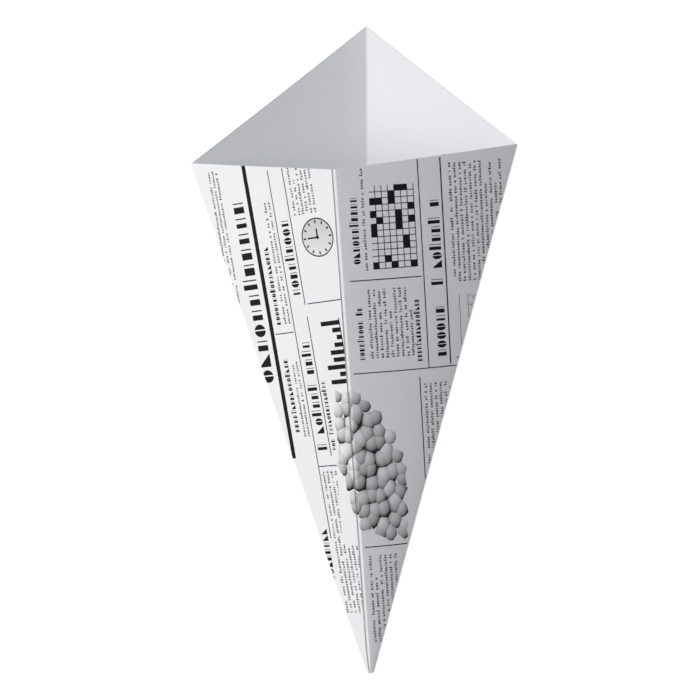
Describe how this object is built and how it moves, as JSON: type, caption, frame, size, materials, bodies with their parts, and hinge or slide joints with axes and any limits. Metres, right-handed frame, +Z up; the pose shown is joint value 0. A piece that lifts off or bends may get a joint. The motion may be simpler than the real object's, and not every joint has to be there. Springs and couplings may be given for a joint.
{
  "type": "cardboard food cone",
  "caption": "Tapered food cone folded from printed card, with a diamond-shaped mouth, a tall back, a low front and a glued front seam; it lies on one back panel.",
  "frame": {"origin": "centre of the bounding box, at its bottom: the cone lies on the outside of its back right panel", "axes": "+Z up, +Y from the point towards the mouth, +X towards the right side fold"},
  "size_m": [0.1194, 0.2552, 0.05],
  "materials": {
    "printed_card": "smooth white card with dark grey newsprint-style print outside"
  },
  "bodies": {
    "root": {"folded_cone": "printed_card"}
  },
  "joints": []
}
